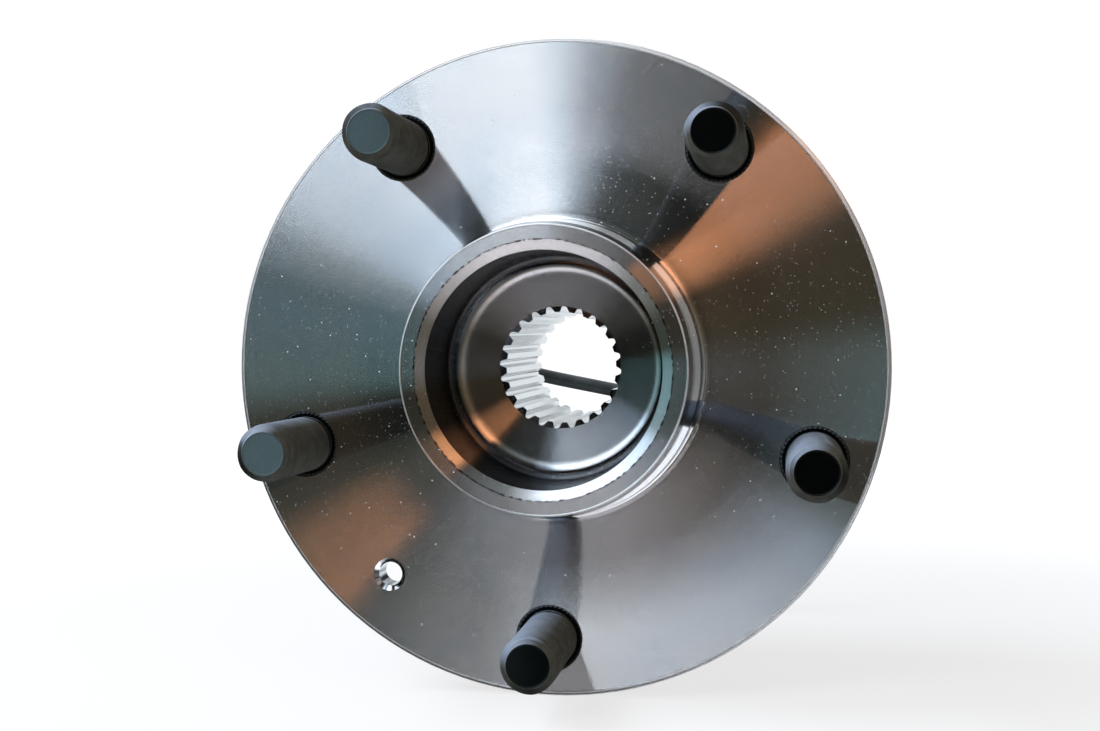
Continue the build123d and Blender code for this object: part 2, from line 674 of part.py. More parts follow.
# Strain relief: a rubber cone from the outlet to where the lead leaves it
with BuildPart() as cable_boot:
    boot_y = shield_end_y + SENSOR_DEPTH + OUTLET_LENGTH
    with BuildSketch(Plane.XY):
        with BuildLine():
            Polyline(
                (OUTLET_X, boot_y),
                (OUTLET_X + BOOT_R, boot_y),
                (OUTLET_X + BOOT_R, boot_y + BOOT_COLLAR),
                (OUTLET_X + BOOT_MOUTH_R, BOOT_END_Y),
                (OUTLET_X, BOOT_END_Y),
                close=True,
            )
        make_face()
    revolve(axis=Axis((OUTLET_X, 0, 0), (0, 1, 0)))
save(cable_boot.part, "cable_boot")


def bend_radii(points):
    """The largest radius that each corner's two runs leave room for."""
    radii = []
    for before, here, after in zip(points, points[1:], points[2:]):
        run_in = Vector(*here) - Vector(*before)
        run_out = Vector(*after) - Vector(*here)
        half_turn = math.radians(run_in.get_angle(run_out) / 2)
        radii.append(BEND_SHARE * min(run_in.length, run_out.length) / math.tan(half_turn))
    print("bend radii", [round(radius, 1) for radius in radii])
    return radii


# Lead from the sensor, behind the bore and down to the floor
with BuildPart() as sensor_cable:
    with BuildLine() as cable_route:
        FilletPolyline(*CABLE_POINTS, radius=bend_radii(CABLE_POINTS))
    with BuildSketch(cable_route.line ^ 0):
        Circle(CABLE_R)
    sweep(path=cable_route.line)
save(sensor_cable.part, "sensor_cable")

with BuildPart() as cable_tail:
    with BuildLine() as tail_route:
        FilletPolyline(*TAIL_POINTS, radius=bend_radii(TAIL_POINTS))
    with BuildSketch(tail_route.line ^ 0):
        Circle(CABLE_R)
    sweep(path=tail_route.line)
save(cable_tail.part, "cable_tail")

# Coil of the lead that is put away, and the band that ties it
coil_width = 4 * CABLE_R
coil_axis = Axis((COIL_X, COIL_Y, 0), (0, 0, 1))
tie_inner_r = COIL_MEAN_R - coil_width / 2
with BuildPart() as cable_coil:
    with BuildSketch(plane_at(COIL_Y)):
        with Locations((COIL_X + COIL_MEAN_R, FLOOR_Z + COIL_HEIGHT / 2)):
            coil_outline = Rectangle(coil_width, COIL_HEIGHT)
        chamfer(coil_outline.vertices(), COIL_EDGE)
    revolve(axis=coil_axis)
    with Locations((COIL_X, COIL_Y - COIL_MEAN_R, FLOOR_Z + TIE_THICKNESS / 2)):
        Box(TIE_WIDTH, coil_width + 2 * TIE_THICKNESS, TIE_THICKNESS, mode=Mode.SUBTRACT)
save(cable_coil.part, "cable_coil")

with BuildPart() as cable_tie:
    tie_y = COIL_Y - COIL_MEAN_R
    band_top_z = FLOOR_Z + COIL_HEIGHT + TIE_THICKNESS
    with BuildSketch(Plane.YZ.offset(COIL_X - TIE_WIDTH / 2)):
        with Locations((tie_y, (FLOOR_Z + band_top_z) / 2)):
            RectangleRounded(
                coil_width + 2 * TIE_THICKNESS,
                COIL_HEIGHT + TIE_THICKNESS,
                COIL_EDGE,
            )
            Rectangle(
                coil_width + 2 * TIE_CLEARANCE,
                COIL_HEIGHT - TIE_THICKNESS,
                mode=Mode.SUBTRACT,
            )
    extrude(amount=TIE_WIDTH)
    with BuildSketch(Plane.XY.offset(band_top_z)):
        with Locations((COIL_X, tie_y)):
            Rectangle(TIE_HEAD, TIE_HEAD)
    extrude(amount=TIE_HEAD_HEIGHT)
    with BuildSketch(Plane.XZ.offset(-tie_y)):
        with Locations((COIL_X, band_top_z + TIE_HEAD_HEIGHT / 2)):
            Rectangle(TIE_WIDTH, TIE_THICKNESS)
    extrude(amount=-TIE_HEAD / 2 - TIE_END)
save(cable_tie.part, "cable_tie")

# Connector: rubber boot on the lead, housing with grip, latch and nose
PLUG_X, PLUG_Y, PLUG_Z = TAIL_POINTS[-1]
housing_y = PLUG_Y + PLUG_BOOT_LENGTH
nose_y = housing_y + PLUG_LENGTH
nose_end_y = nose_y + PLUG_NOSE_LENGTH

with BuildPart() as connector_boot:
    with BuildSketch(plane_at(PLUG_Y)):
        with Locations((PLUG_X, PLUG_Z)):
            Circle(PLUG_BOOT_R)
    extrude(amount=-PLUG_BOOT_LENGTH)
    chamfer(connector_boot.edges().sort_by(Axis.Y)[0], PLUG_BOOT_R - CABLE_R)
save(connector_boot.part, "connector_boot")

with BuildPart() as connector_body:
    with BuildSketch(plane_at(housing_y)):
        with Locations((PLUG_X, PLUG_Z)):
            RectangleRounded(PLUG_WIDTH, PLUG_HEIGHT, PLUG_ROUND)
    extrude(amount=-PLUG_LENGTH)
    for side in (-1, 1):
        with Locations((PLUG_X + side * PLUG_WIDTH / 2, housing_y + PLUG_LENGTH / 2, PLUG_Z)):
            with GridLocations(0, GRIP_PITCH, 1, GRIP_COUNT):
                Box(2 * GRIP_DEPTH, GRIP_WIDTH, PLUG_HEIGHT, mode=Mode.SUBTRACT)
    with BuildSketch(plane_at(nose_y)):
        with Locations((PLUG_X, PLUG_Z)):
            RectangleRounded(PLUG_NOSE_WIDTH, PLUG_NOSE_HEIGHT, PLUG_NOSE_ROUND)
    extrude(amount=-PLUG_NOSE_LENGTH)
    with BuildSketch(Plane.YZ.offset(PLUG_X - LATCH_WIDTH / 2)):
        with BuildLine():
            foot_y = housing_y + LATCH_START
            body_top_z = PLUG_Z + PLUG_HEIGHT / 2
            under_z = body_top_z + LATCH_LIFT
            latch_end_y = foot_y + LATCH_LENGTH
            Polyline(
                (foot_y, body_top_z),
                (foot_y + LATCH_FOOT, body_top_z),
                (foot_y + LATCH_FOOT, under_z),
                (latch_end_y - LATCH_FOOT, under_z),
                (latch_end_y - LATCH_FOOT, under_z - LATCH_LIFT),
                (latch_end_y, under_z),
                (latch_end_y, under_z + LATCH_THICKNESS),
                (foot_y, under_z + LATCH_THICKNESS),
                close=True,
            )
        make_face()
    extrude(amount=LATCH_WIDTH)
    terminal_hole = TERMINAL_SIZE + 2 * TERMINAL_CLEARANCE
    terminal_back_y = nose_end_y - TERMINAL_SETBACK - TERMINAL_LENGTH
    with BuildSketch(plane_at(terminal_back_y)):
        with Locations((PLUG_X, PLUG_Z)):
            with GridLocations(TERMINAL_PITCH, 0, 2, 1):
                Rectangle(terminal_hole, terminal_hole)
    extrude(amount=terminal_back_y - nose_end_y, mode=Mode.SUBTRACT)
    lock_y = nose_end_y - LOCK_LENGTH / 2
    lock_z = PLUG_Z - PLUG_NOSE_HEIGHT / 2 + LOCK_THICKNESS / 2
    with Locations((PLUG_X, lock_y, lock_z)):
        Box(PLUG_NOSE_WIDTH, LOCK_LENGTH, LOCK_THICKNESS, mode=Mode.SUBTRACT)
save(connector_body.part, "connector_body")

with BuildPart() as connector_lock:
    with Locations((PLUG_X, lock_y, lock_z)):
        Box(PLUG_NOSE_WIDTH, LOCK_LENGTH, LOCK_THICKNESS)
save(connector_lock.part, "connector_lock")

with BuildPart() as connector_seal:
    with BuildSketch(plane_at(nose_y)):
        with Locations((PLUG_X, PLUG_Z)):
            RectangleRounded(
                PLUG_NOSE_WIDTH + 2 * PLUG_SEAL_WALL,
                PLUG_NOSE_HEIGHT + 2 * PLUG_SEAL_WALL,
                PLUG_NOSE_ROUND + PLUG_SEAL_WALL,
            )
            RectangleRounded(
                PLUG_NOSE_WIDTH,
                PLUG_NOSE_HEIGHT,
                PLUG_NOSE_ROUND,
                mode=Mode.SUBTRACT,
            )
    extrude(amount=-PLUG_SEAL_LENGTH)
save(connector_seal.part, "connector_seal")

with BuildPart() as connector_terminals:
    with BuildSketch(plane_at(terminal_back_y)):
        with Locations((PLUG_X, PLUG_Z)):
            with GridLocations(TERMINAL_PITCH, 0, 2, 1):
                Rectangle(TERMINAL_SIZE, TERMINAL_SIZE)
    extrude(amount=-TERMINAL_LENGTH)
    with BuildSketch(plane_at(nose_end_y - TERMINAL_SETBACK)):
        with Locations((PLUG_X, PLUG_Z)):
            with GridLocations(TERMINAL_PITCH, 0, 2, 1):
                Rectangle(TERMINAL_BORE, TERMINAL_BORE)
    extrude(amount=TERMINAL_BORE_DEPTH, mode=Mode.SUBTRACT)
save(connector_terminals.part, "connector_terminals")
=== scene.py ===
"""Looks of a driven wheel hub bearing: finishes, threaded studs, sensor lead, stage and camera."""

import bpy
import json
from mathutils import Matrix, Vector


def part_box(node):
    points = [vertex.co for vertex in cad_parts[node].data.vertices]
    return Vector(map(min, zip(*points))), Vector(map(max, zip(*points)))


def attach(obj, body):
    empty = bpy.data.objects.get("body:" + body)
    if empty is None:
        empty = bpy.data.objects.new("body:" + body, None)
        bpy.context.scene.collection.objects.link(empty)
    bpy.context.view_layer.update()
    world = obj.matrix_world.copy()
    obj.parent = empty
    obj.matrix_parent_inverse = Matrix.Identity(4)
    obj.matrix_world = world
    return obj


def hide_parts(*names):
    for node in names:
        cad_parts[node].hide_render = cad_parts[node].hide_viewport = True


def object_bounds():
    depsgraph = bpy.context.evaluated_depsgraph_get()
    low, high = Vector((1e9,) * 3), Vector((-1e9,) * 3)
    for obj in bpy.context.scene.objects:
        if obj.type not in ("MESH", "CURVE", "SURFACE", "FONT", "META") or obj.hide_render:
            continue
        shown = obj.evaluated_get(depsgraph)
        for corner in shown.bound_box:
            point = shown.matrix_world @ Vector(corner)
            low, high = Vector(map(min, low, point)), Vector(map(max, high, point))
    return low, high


bl_info = {
    "name": "Wheel Hub Bearing",
    "version": (1, 0, 0),
    "blender": (4, 5, 0),
    "location": "View3D > Sidebar > Hub Bearing",
    "description": "Dresses the packed wheel hub bearing and sets up its studio",
    "category": "Object",
}

import json
import math

import bmesh
import bpy
from bpy.props import FloatProperty, FloatVectorProperty, IntProperty, PointerProperty
from mathutils import Matrix, Vector

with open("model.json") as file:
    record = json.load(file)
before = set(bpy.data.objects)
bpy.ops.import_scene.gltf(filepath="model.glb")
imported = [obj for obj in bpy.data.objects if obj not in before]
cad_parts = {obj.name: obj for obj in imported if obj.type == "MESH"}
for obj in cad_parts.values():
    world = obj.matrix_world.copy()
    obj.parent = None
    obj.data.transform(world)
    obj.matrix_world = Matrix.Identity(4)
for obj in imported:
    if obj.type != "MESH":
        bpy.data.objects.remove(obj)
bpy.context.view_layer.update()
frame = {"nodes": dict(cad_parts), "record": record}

MM = 0.001

# Bodies of the part
STILL = "outer_body"
TURNING = "hub_body"

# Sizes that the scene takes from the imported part
MOUNTS = {mount["name"]: mount for mount in frame["record"]["mounts"]}
STUD_MOUNT = MOUNTS["wheel_studs"]["dims"]
STUD_CIRCLE_R = STUD_MOUNT["pcd_mm"] * MM / 2
STUD_COUNT = STUD_MOUNT["count"]
STUD_R = STUD_MOUNT["stud_r_mm"] * MM
STUD_TIP_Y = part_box("wheel_studs")[0].y
STUD_BACK_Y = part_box("wheel_studs")[1].y
FLOOR_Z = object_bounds()[0].z
CABLE_R = 1.9 * MM

# Edges of the hub that get a painted highlight or hold dirt, in millimetres: a radius and a place
# along the axle
PILOT_EDGE = (29.2, -16.3)
PILOT_MOUTH = (26.2, -16.35)
RIM_FRONT_EDGE = (68.6, 0.0)
RIM_SIDE_EDGE = (69.4, 0.8)

# Lead: the control points of part.py's runs, in millimetres
BOOT_END = (-34.0, 74.0, 0.0)
LEAD_POINTS = [
    BOOT_END,
    (-34.0, 84.7, 0.0),
    (-28.6, 94.0, -1.9),
    (-19.0, 99.6, -4.8),
    (0.0, 101.2, -8.5),
    (15.0, 101.2, -11.4),
    (26.2, 100.6, -20.6),
    (31.4, 101.4, -34.2),
    (31.0, 102.6, -50.6),
    (29.6, 96.8, -61.2),
    (27.6, 85.4, -67.5),
    (25.9, 70.2, -67.5),
]
COIL_CENTRE = (3.0, 56.0)
COIL_OUTER_TURN = 22.9
COIL_INNER_TURN = 19.1
COIL_TOP_TURN = 21.0
COIL_LOW = -67.5
COIL_HIGH = -63.7
TAIL_POINTS = [
    (-17.7, 72.2, -63.7),
    (-18.0, 77.0, -63.7),
    (-18.0, 82.0, -63.7),
]


class StudSizes(bpy.types.PropertyGroup):
    """Sizes of the wheel studs."""

    thread_pitch: FloatProperty(
        name="Thread pitch",
        description="Rise of the thread in one turn",
        default=1.5 * MM,
        unit="LENGTH",
    )
    thread_depth: FloatProperty(
        name="Thread depth",
        description="Crest to root of the thread",
        default=0.62 * MM,
        unit="LENGTH",
    )
    knurl_teeth: IntProperty(
        name="Knurl teeth",
        description="Splines of the press fit round the shank",
        default=44,
    )
    around: IntProperty(
        name="Segments",
        description="Faces round a stud",
        default=48,
    )


class LeadSizes(bpy.types.PropertyGroup):
    """Sizes of the sensor lead."""

    length: FloatProperty(
        name="Length",
        description="Real length from the strain relief to the connector",
        default=0.5,
        unit="LENGTH",
    )
    coil_steps: IntProperty(
        name="Points a turn",
        description="Control points in one turn of the coil",
        default=16,
    )


class Colours(bpy.types.PropertyGroup):
    """Colours that a user would change."""

    steel: FloatVectorProperty(
        name="Turned steel",
        description="Bare turned steel of the hub",
        subtype="COLOR",
        default=(0.60, 0.60, 0.61),
    )
    oxide: FloatVectorProperty(
        name="Black oxide",
        description="Finish of the wheel studs",
        subtype="COLOR",
        default=(0.028, 0.028, 0.023),
    )
    jacket: FloatVectorProperty(
        name="Lead jacket",
        description="Rubber of the sensor lead",
        subtype="COLOR",
        default=(0.012, 0.018, 0.020),
    )
    cage: FloatVectorProperty(
        name="Cage polyamide",
        description="Plastic of the ball cages",
        subtype="COLOR",
        default=(0.62, 0.55, 0.38),
    )


class StudioSettings(bpy.types.PropertyGroup):
    """Camera and light."""

    camera_place: FloatVectorProperty(
        name="Camera place",
        description="Where the camera stands",
        subtype="TRANSLATION",
        default=(48.2 * MM, -301.2 * MM, 8.0 * MM),
    )
    camera_yaw: FloatProperty(
        name="Camera yaw",
        description="Turn of the view to the left of the axle line",
        subtype="ANGLE",
        default=math.radians(9.26),
    )
    camera_pitch: FloatProperty(
        name="Camera pitch",
        description="Tilt of the view below the level",
        subtype="ANGLE",
        default=math.radians(1.39),
    )
    focal_length: FloatProperty(
        name="Focal length",
        description="Focal length on a sensor 36 mm wide",
        subtype="DISTANCE_CAMERA",
        default=47.4545,
    )


class Wire:
    """A value in a material's nodes; its operators add the nodes that work them out."""

    def __init__(self, shader, socket):
        self.shader = shader
        self.socket = socket

    def math(self, operation, *values):
        inputs = dict(enumerate((self, *values)))
        return self.shader.node("Math", {"operation": operation}, inputs)

    def __add__(self, other):
        return self.math("ADD", other)

    def __radd__(self, other):
        return self.math("ADD", other)

    def __sub__(self, other):
        return self.math("SUBTRACT", other)

    def __rsub__(self, other):
        return self.shader.node("Math", {"operation": "SUBTRACT"}, {0: other, 1: self})

    def __mul__(self, other):
        return self.math("MULTIPLY", other)

    def __rmul__(self, other):
        return self.math("MULTIPLY", other)

    def __truediv__(self, other):
        return self.math("DIVIDE", other)

    def __pow__(self, other):
        return self.math("POWER", other)

    def clipped(self, low, high):
        """0 at low, 1 at high, straight between them."""
        settings = {"clamp": True, "interpolation_type": "SMOOTHSTEP"}
        return self.shader.node("MapRange", settings, {"Value": self, "From Min": low, "From Max": high})


class Shader:
    """The nodes of a material or of the world."""

    def __init__(self, owner):
        owner.use_nodes = True
        self.tree = owner.node_tree
        self.tree.nodes.clear()

    def node(self, kind, settings=None, inputs=None, output=0):
        """Adds a node: its settings first, then the values or wires of its sockets."""
        added = self.tree.nodes.new("ShaderNode" + kind)
        for name, value in (settings or {}).items():
            if name == "stops":
                self.set_stops(added.color_ramp, value)
            else:
                setattr(added, name, value)
        for name, value in (inputs or {}).items():
            if isinstance(value, Wire):
                self.tree.links.new(value.socket, added.inputs[name])
            else:
                added.inputs[name].default_value = value
        return Wire(self, added.outputs[output])

    @staticmethod
    def set_stops(ramp, stops):
        while len(ramp.elements) < len(stops):
            ramp.elements.new(1.0)
        for element, (place, colour) in zip(ramp.elements, stops):
            element.position = place
            element.color = (*colour, 1.0)

    def mix(self, factor, first, second):
        """Colours mixed by a factor."""
        sockets = {0: factor, 6: rgba(first), 7: rgba(second)}
        return self.node("Mix", {"data_type": "RGBA"}, sockets, output=2)

    def place(self):
        """The point in the part's own frame, as three wires in millimetres."""
        point = self.node("TexCoord", output="Object")
        return [self.node("SeparateXYZ", {}, {0: point}, output=axis) / MM for axis in "XYZ"]

    def vector(self, x, y, z):
        return self.node("CombineXYZ", {}, {0: x, 1: y, 2: z})

    def vector_math(self, operation, *values, output=0):
        return self.node("VectorMath", {"operation": operation}, dict(enumerate(values)), output)

    def noise(self, vector, scale, detail=2.0, roughness=0.5):
        """A cloud of values from 0 to 1."""
        sockets = {"Vector": vector, "Scale": scale, "Detail": detail, "Roughness": roughness}
        return self.node("TexNoise", {}, sockets, output="Fac")

    def rows(self, along, scale, detail=2.0, roughness=0.5):
        """Values that change along one wire only."""
        sockets = {"W": along, "Scale": scale, "Detail": detail, "Roughness": roughness}
        return self.node("TexNoise", {"noise_dimensions": "1D"}, sockets, output="Fac")

    def multiply(self, colour, shade):
        """A colour made lighter or darker by a grey."""
        sockets = {0: 1.0, 6: colour, 7: self.vector(shade, shade, shade)}
        return self.node("Mix", {"data_type": "RGBA", "blend_type": "MULTIPLY"}, sockets, output=2)

    def dust(self, point, scale, size, rarity):
        """1 in small round spots and 0 between them: none where a slow cloud is under rarity."""
        cells = self.node("TexVoronoi", {}, {"Vector": point, "Scale": scale}, output="Distance")
        cloud = self.noise(point, scale * 0.7, detail=1.0)
        return (1.0 - cells.clipped(size * 0.4, size)) * cloud.clipped(rarity, rarity + 0.06)

    def surface(self, **sockets):
        """The finished surface: one principled shader with the given sockets."""
        named = {name.replace("_", " "): rgba(value) for name, value in sockets.items()}
        shader = self.node("BsdfPrincipled", {}, named)
        self.node_output(shader)

    def node_output(self, shader, kind="OutputMaterial"):
        output = self.tree.nodes.new("ShaderNode" + kind)
        self.tree.links.new(shader.socket, output.inputs["Surface"])


def rgba(value):
    """A plain colour with its alpha; anything else as it is."""
    if not isinstance(value, Wire) and hasattr(value, "__len__") and len(value) == 3:
        return (*value, 1.0)
    return value


def new_material(name):
    """A material and its nodes."""
    material = bpy.data.materials.new(name)
    return material, Shader(material)


def finish_nodes(material, *names):
    """Puts a material on CAD nodes."""
    for name in names:
        mesh = frame["nodes"][name].data
        mesh.materials.clear()
        mesh.materials.append(material)


# Turned steel


def meridian(shader):
    """The surface normal and the direction across the turning marks, both of length 1."""
    normal = shader.node("NewGeometry", output="Normal")
    place = shader.node("NewGeometry", output="Position")
    round_axle = shader.vector_math("CROSS_PRODUCT", (0.0, 1.0, 0.0), place)
    across = shader.vector_math("CROSS_PRODUCT", normal, round_axle)
    return normal, shader.vector_math("NORMALIZE", across)


# Rings that follow each other lean by steps of this share, so that no side gets more than another
GOLDEN_SHARE = 0.618034
# Lean of the rings on walls, chamfers and fillets, which are cut finer than the flat faces
WALL_SPREAD = 0.10
# Lean of the rings on the end of the pilot, as a share of the lean on the wheel face
PILOT_SHARE = 0.70


def turned_normal(shader, along, spread, ring):
    """A normal that leans to and fro across the marks, one lean for each ring of the tool."""
    normal, across = meridian(shader)
    facing = shader.node("SeparateXYZ", {}, {0: normal}, output="Y").math("ABSOLUTE")
    spread = (facing.clipped(0.93, 0.99) * (spread - WALL_SPREAD)) + WALL_SPREAD
    chance = ((along / ring).math("FLOOR") * GOLDEN_SHARE).math("FRACT")
    lean = (chance * 2.0 - 1.0) * spread
    leaning = shader.node("VectorMath", {"operation": "SCALE"}, {0: across, "Scale": lean})
    return shader.vector_math("NORMALIZE", shader.vector_math("ADD", normal, leaning))


def near_edge(radius, y, edge, width):
    """1 on a circular edge of the hub, 0 from a width away."""
    across = radius - edge[0]
    along = y - edge[1]
    return 1.0 - ((across * across + along * along) ** 0.5).clipped(width * 0.4, width)


def turned_steel(name, colour, spread=0.70, ring=0.004, roughness=0.06, marks=0.12, specks=True):
    """Bare steel off the lathe: rings of the tool, a film of oil, dust and small nicks, with painted highlights along
    the pilot and rim edges and painted shade on the recess walls.
    """
    material, shader = new_material(name)
    x, y, z = shader.place()
    radius = (x * x + z * z) ** 0.5
    angle = z.math("ARCTAN2", x)
    along = radius + y * 0.618
    point = shader.vector(x, y, z)
    pilot_end = 1.0 - y.clipped(PILOT_MOUTH[1] + 0.3, PILOT_MOUTH[1] + 0.4)
    spread = (1.0 - pilot_end * (1.0 - PILOT_SHARE)) * spread
    normal = turned_normal(shader, along, spread, ring)
    bands = shader.rows(along, 2.2, detail=4.0, roughness=0.8)
    arcs = shader.noise(shader.vector(along * 9.0, angle * 6.0, 0.0), 1.0, detail=3.0, roughness=0.6)
    film = shader.noise(point, 0.045, detail=3.0)
    shade = 1.0 - (bands - 0.5) * marks - (arcs - 0.5) * marks
    oiled = [c * t for c, t in zip(colour, (0.93, 0.96, 1.0))]
    base = shader.mix((film * 0.9).clipped(0.35, 0.62), colour, oiled)
    base = shader.multiply(base, shade)
    rough = roughness + (film - 0.5) * 0.04
    if specks:
        nicks_and_painted_glint = shader.dust(point, 0.42, 0.062, 0.38) + shader.dust(point, 0.15, 0.034, 0.50)
        nicks_and_painted_glint = nicks_and_painted_glint + shader.dust(point, 1.3, 0.16, 0.42) * 0.30
        # Painted highlight: pale, rough lines along the pilot edge and the two rim edges, added to the nicks
        painted_edge_glint = near_edge(radius, y, PILOT_EDGE, 0.34) + near_edge(radius, y, RIM_FRONT_EDGE, 0.3)
        painted_edge_glint = painted_edge_glint + near_edge(radius, y, RIM_SIDE_EDGE, 0.3)
        nicks_and_painted_glint = (nicks_and_painted_glint + painted_edge_glint).math("MINIMUM", 1.0)
        dents = shader.noise(point, 1.1, detail=3.0, roughness=0.7)
        dirt = near_edge(radius, y, PILOT_MOUTH, 0.26) * dents.clipped(0.46, 0.56)
        bump = {"Strength": 0.5, "Distance": 0.0002, "Height": nicks_and_painted_glint, "Normal": normal}
        normal = shader.node("Bump", {}, bump)
        base = shader.mix(nicks_and_painted_glint, base, (0.86, 0.87, 0.90))
        base = shader.mix(dirt, base, (0.03, 0.03, 0.035))
        # Painted shade: the walls of the recess round the bore, where they do not face along the axle, are darkened to
        # 7 % of their colour
        facing = shader.node("SeparateXYZ", {}, {0: meridian(shader)[0]}, output="Y").math("ABSOLUTE")
        painted_recess_shade = radius.clipped(15.0, 15.2) * (1.0 - radius.clipped(24.4, 24.6))
        base = shader.multiply(base, 1.0 - painted_recess_shade * (1.0 - facing.clipped(0.2, 0.4)) * 0.93)
        rough = rough + nicks_and_painted_glint * 0.55
    shader.surface(Base_Color=base, Metallic=1.0, Roughness=rough, Normal=normal)
    return material


# Plain finishes


def moulded(name, colour, roughness=0.55, grain=9.0, lift=0.04, metal=0.0):
    """Moulded rubber or plastic: a fine grain, faint clouds and high spots of dust."""
    material, shader = new_material(name)
    point = shader.vector(*shader.place())
    cloud = shader.noise(point, 0.25, detail=3.0)
    fine = shader.noise(point, grain, detail=2.0)
    base = shader.mix(cloud.clipped(0.3, 0.75), colour, [c + lift * 0.5 for c in colour])
    rough = roughness + (cloud - 0.5) * 0.2
    bump = shader.node("Bump", {}, {"Strength": 0.25, "Distance": 0.00003, "Height": fine})
    shader.surface(Base_Color=base, Metallic=metal, Roughness=rough, Normal=bump)
    return material


def black_oxide(name, colour):
    """Oiled black oxide on steel, pale where worn, with a painted cold sheen on the upper left side of each stud and
    painted light on the tips of the studs to the left.
    """
    material, shader = new_material(name)
    x, y, z = shader.place()
    point = shader.vector(x, y, z)
    along, facing, upward = [
        shader.node("SeparateXYZ", {}, {0: meridian(shader)[0]}, output=axis) for axis in "XYZ"
    ]
    flat = facing.math("ABSOLUTE").clipped(0.75, 0.95) * (1.0 - y.clipped(4.0, 6.0))
    # Painted highlight: a pale cold blue sheen on the upper left side of each stud, by the direction of its normal
    painted_upper_sheen = (upward * 0.84 - along * 0.54).clipped(0.25, 0.85)
    tip = 1.0 - y.clipped(STUD_TIP_Y / MM + 0.3, STUD_TIP_Y / MM + 0.4)
    # Painted light: the tips of the studs left of the axle are a lit teal grey that is not metal; those to the right
    # stay black metal
    painted_lit_tips = flat * tip * (0.0 - x).clipped(-8.0, 40.0)
    cloud = shader.noise(point, 0.30, detail=4.0, roughness=0.6)
    fine = shader.noise(point, 4.0, detail=3.0, roughness=0.7)
    worn = (fine * cloud).clipped(0.36, 0.46)
    base = shader.mix(cloud.clipped(0.35, 0.7), colour, [c * 1.5 for c in colour])
    base = shader.mix(worn * 0.2, base, (0.12, 0.12, 0.12))
    base = shader.mix(painted_upper_sheen, base, shader.mix(cloud, (0.11, 0.135, 0.18), (0.20, 0.225, 0.27)))
    base = shader.mix(flat, base, (0.008, 0.010, 0.010))
    base = shader.mix(painted_lit_tips, base, shader.mix(fine, (0.026, 0.046, 0.050), (0.062, 0.090, 0.098)))
    rough = 0.46 - (cloud - 0.5) * 0.25 + (fine - 0.5) * 0.15
    bump = shader.node("Bump", {}, {"Strength": 0.4, "Distance": 0.00004, "Height": fine})
    metal = flat * (1.0 - painted_lit_tips)
    shader.surface(
        Base_Color=base, Metallic=metal, Roughness=rough, Normal=bump, Specular_IOR_Level=0.12
    )
    return material


# Wheel studs


def fold(value):
    """0 at whole numbers and 1 half way between them, straight up and down."""
    part = value - math.floor(value)
    return 1.0 - abs(2.0 * part - 1.0)


def stud_rings(sizes):
    """The rings of one stud, each a height over the wheel face, a radius and what goes round it:
    first the head with the knurl, then the shank with its thread."""
    head_r = 9.2 * MM
    head_edge = 0.7 * MM
    head_top = -10.0 * MM
    knurl_r = 7.15 * MM
    sunk = -0.3 * MM
    bevel = 0.35 * MM
    thread_start = 0.4 * MM
    tip_chamfer = 1.4 * MM
    dish_edge = 0.15 * MM
    dish_slope = 0.35 * MM
    dish_depth = 0.15 * MM
    back = -STUD_BACK_Y
    tip = -STUD_TIP_Y
    head = [
        (back, 0.0, "plain"),
        (back, head_r - head_edge, "plain"),
        (back + head_edge, head_r, "plain"),
        (head_top - 0.2 * MM, head_r, "plain"),
        (head_top, head_r - 0.2 * MM, "plain"),
        (head_top, knurl_r, "knurl"),
        (sunk - bevel, knurl_r, "knurl"),
        (sunk, knurl_r - bevel, "knurl"),
        (sunk, 0.0, "plain"),
    ]
    shank = [(2 * sunk, 0.0, "plain"), (2 * sunk, STUD_R, "plain"), (thread_start, STUD_R, "plain")]
    thread = tip - tip_chamfer - thread_start
    count = round(6 * thread / sizes.thread_pitch)
    for number in range(1, count + 1):
        shank.append((thread_start + thread * number / count, STUD_R, "thread"))
    flat_r = STUD_R - tip_chamfer
    shank += [
        (tip - tip_chamfer * 0.5, STUD_R - tip_chamfer * 0.5, "thread"),
        (tip - dish_edge, flat_r, "plain"),
        (tip, flat_r - dish_edge, "plain"),
        (tip - dish_depth, flat_r - dish_edge - dish_slope, "plain"),
        (tip - dish_depth, 0.0, "plain"),
    ]
    return head, shank


def stud_radius(kind, radius, height, turn, sizes):
    """The radius of a ring at one turn round the stud."""
    if kind == "thread":
        return radius - sizes.thread_depth * fold(height / sizes.thread_pitch - turn / math.tau)
    if kind == "knurl":
        return radius - 0.22 * MM * fold(turn * sizes.knurl_teeth / math.tau)
    return radius


def lathe(mesh, rings, around, sizes, matrix):
    """Adds a turned solid to a mesh: rings of points joined by faces, closed at both ends."""
    rows = []
    for height, radius, kind in rings:
        if radius == 0.0:
            rows.append([mesh.verts.new(matrix @ Vector((0, 0, height)))])
            continue
        row = []
        for number in range(around):
            turn = math.tau * number / around
            here = stud_radius(kind, radius, height, turn, sizes)
            point = Vector((here * math.cos(turn), here * math.sin(turn), height))
            row.append(mesh.verts.new(matrix @ point))
        rows.append(row)
    for low, high in zip(rows, rows[1:]):
        for number in range(around):
            after = (number + 1) % around
            corners = [low[number % len(low)], low[after % len(low)]]
            corners += [high[after % len(high)], high[number % len(high)]]
            mesh.faces.new(list(dict.fromkeys(corners)))


def mesh_object(name, mesh, material, sharp_degrees=40):
    """An object of a finished mesh, smooth but for its sharp edges."""
    bmesh.ops.recalc_face_normals(mesh, faces=mesh.faces)
    for face in mesh.faces:
        face.smooth = True
    for edge in mesh.edges:
        if edge.is_manifold and edge.calc_face_angle() > math.radians(sharp_degrees):
            edge.smooth = False
    data = bpy.data.meshes.new(name)
    mesh.to_mesh(data)
    mesh.free()
    data.materials.append(material)
    made = bpy.data.objects.new(name, data)
    bpy.context.scene.collection.objects.link(made)
    return made


